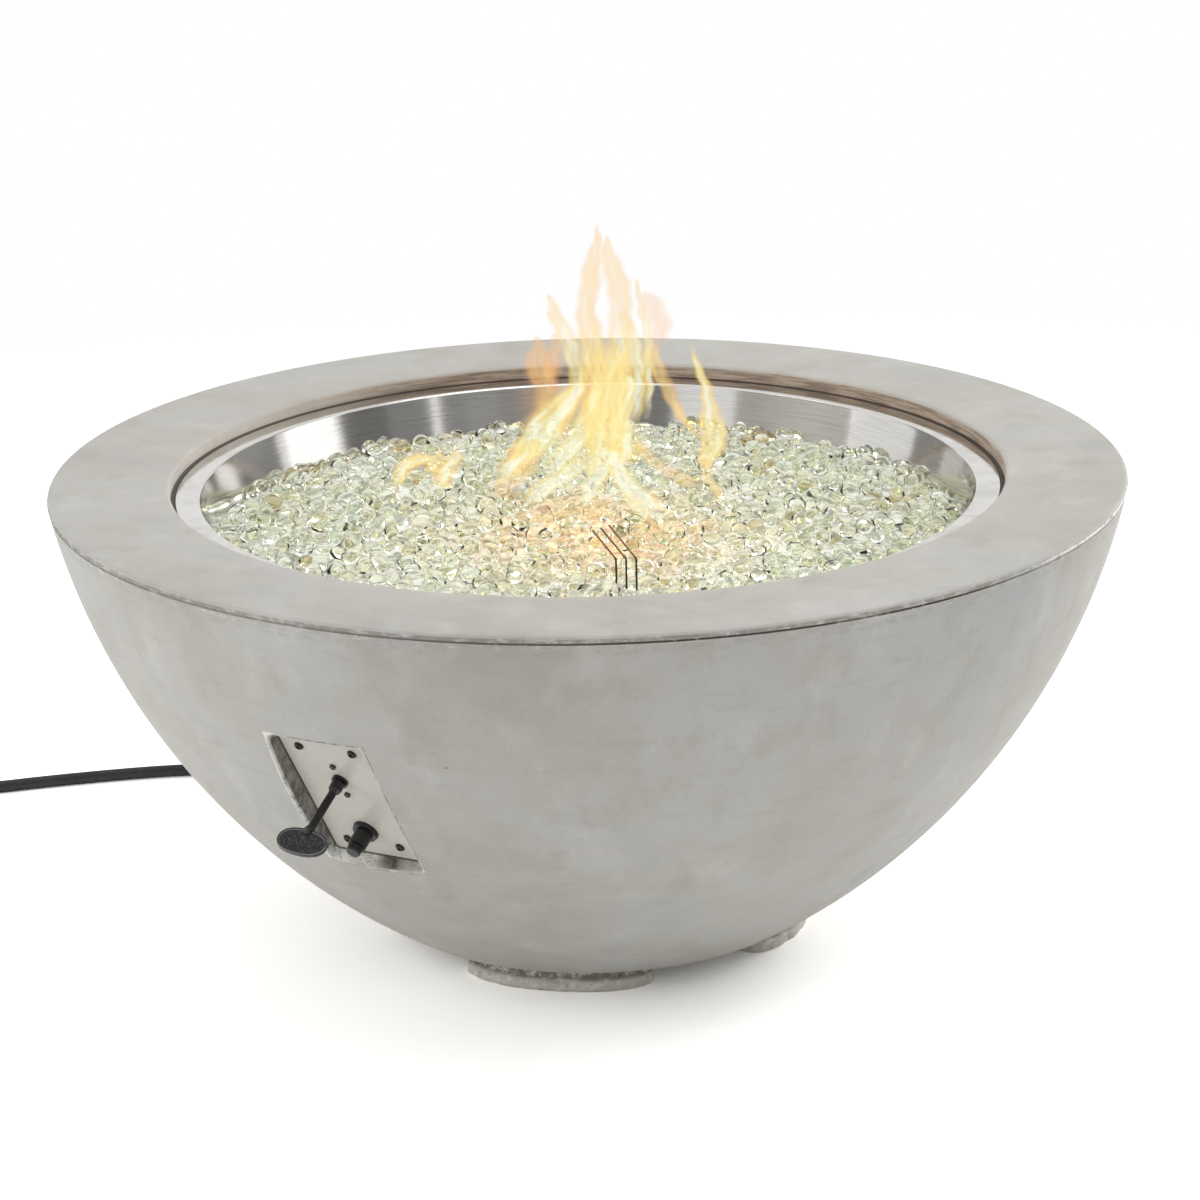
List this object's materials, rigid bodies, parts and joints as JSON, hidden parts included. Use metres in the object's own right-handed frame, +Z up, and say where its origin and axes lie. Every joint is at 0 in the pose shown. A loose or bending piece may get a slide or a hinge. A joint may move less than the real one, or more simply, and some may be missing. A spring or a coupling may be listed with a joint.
{
  "type": "gas fire pit",
  "caption": "Round cast concrete gas fire bowl with a steel pan of glass gems, a recessed valve key and push igniter, and a gas hose with regulator.",
  "frame": {"origin": "on the ground under the bowl's axis", "axes": "+Z up along the bowl's axis, -Y towards the viewer, +X to the viewer's right"},
  "size_m": [1.4066, 1.065, 0.4778],
  "materials": {
    "concrete": "cast, weathered",
    "pan_steel": "brushed",
    "panel_paint": "satin",
    "plated_steel": "zinc plated",
    "dark_steel": "black oxide",
    "brass": "turned",
    "key_black": "gloss",
    "igniter_black": "moulded",
    "gems": "tumbled",
    "ceramic": "unglazed",
    "hose_rubber": "matte",
    "lead_rubber": "silicone",
    "seal_white": "moulded",
    "regulator_cast": "die cast",
    "cell_jacket": "plain jacket"
  },
  "bodies": {
    "fire_pit": {"concrete_bowl": "concrete", "burner_pan": "pan_steel", "glass_gem_bed": "gems", "burner_base": "pan_steel", "burner_cover": "pan_steel", "burner_standoffs": "plated_steel", "burner_nipple": "dark_steel", "burner_locknuts": "plated_steel", "air_mixer": "plated_steel", "gas_orifice": "brass", "gas_flex_line": "pan_steel", "valve_body": "brass", "valve_cap": "brass", "gas_elbows": "brass", "flare_nuts": "brass", "valve_gland": "plated_steel", "valve_screws": "dark_steel", "control_panel": "panel_paint", "panel_screws": "dark_steel", "igniter_body": "igniter_black", "igniter_nut": "igniter_black", "igniter_cap": "igniter_black", "igniter_switch": "seal_white", "battery": "cell_jacket", "battery_contact": "plated_steel", "electrode_bracket": "plated_steel", "bracket_screws": "plated_steel", "electrode_insulators": "ceramic", "sensing_electrode": "dark_steel", "ground_electrode": "dark_steel", "spark_electrode": "dark_steel", "ignition_leads": "lead_rubber", "hose_grommet": "hose_rubber", "hose_inner": "hose_rubber", "hose_ferrule_valve": "brass", "hose": "hose_rubber", "hose_coil": "hose_rubber", "hose_tail": "hose_rubber", "hose_ferrule_regulator": "brass", "regulator_body": "regulator_cast", "regulator_cover": "regulator_cast", "regulator_vent": "igniter_black", "coupling_probe": "brass"},
    "valve_core": {"valve_plug": "brass"},
    "key": {"valve_key": "key_black"},
    "igniter_push": {"igniter_button": "igniter_black"},
    "tank_coupling": {"coupling_nut": "igniter_black"}
  },
  "joints": [
    {"name": "valve_turn", "type": "hinge", "parent": "fire_pit", "child": "valve_core", "pos_m": [-0.23113, -0.38551, 0.28848], "axis": [-0.4373, -0.7424, -0.5075], "range_deg": [-83, 7]},
    {"name": "key_pull", "type": "slide", "parent": "valve_core", "child": "key", "axis": [-0.4373, -0.7424, -0.5075], "range_m": [0, 0.025]},
    {"name": "button_push", "type": "slide", "parent": "fire_pit", "child": "igniter_push", "axis": [0.4373, 0.7424, 0.5075], "range_m": [0, 0.0035], "stiffness_N_per_m": 1500, "springref_m": -0.001},
    {"name": "coupling_spin", "type": "hinge", "parent": "fire_pit", "child": "tank_coupling", "pos_m": [-0.8399, 0.048, 0.0245], "axis": [0, -1, 0], "continuous": true}
  ]
}
